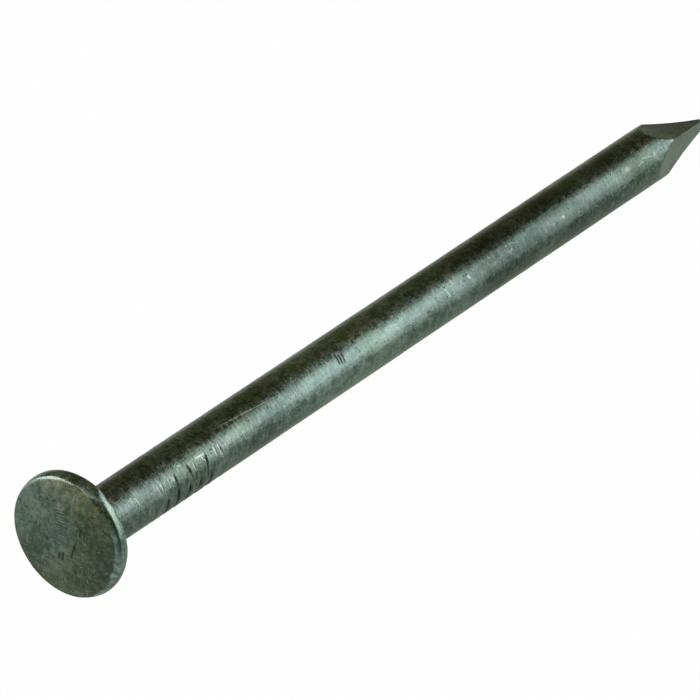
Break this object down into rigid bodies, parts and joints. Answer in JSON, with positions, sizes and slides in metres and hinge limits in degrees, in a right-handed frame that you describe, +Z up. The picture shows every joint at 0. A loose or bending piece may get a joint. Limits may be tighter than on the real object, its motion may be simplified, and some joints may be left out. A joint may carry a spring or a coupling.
{
  "type": "rail spike",
  "caption": "Round-headed spike of blackened steel wire with a flat struck head, gripped shank and four-sided cut point, for holding down model track.",
  "frame": {"origin": "middle of the head's underside, on the axis of the wire", "axes": "+X along the wire from the head to the point, +Z up as it lies on its side, and the grip marks face +Y and -Y"},
  "size_m": [0.0128, 0.0015, 0.0016],
  "materials": {
    "blackened_steel": "blackened drawn wire with a grey-green sheen, fine lengthwise drawing lines and small handling scratches"
  },
  "bodies": {
    "root": {"spike": "blackened_steel"}
  },
  "joints": []
}
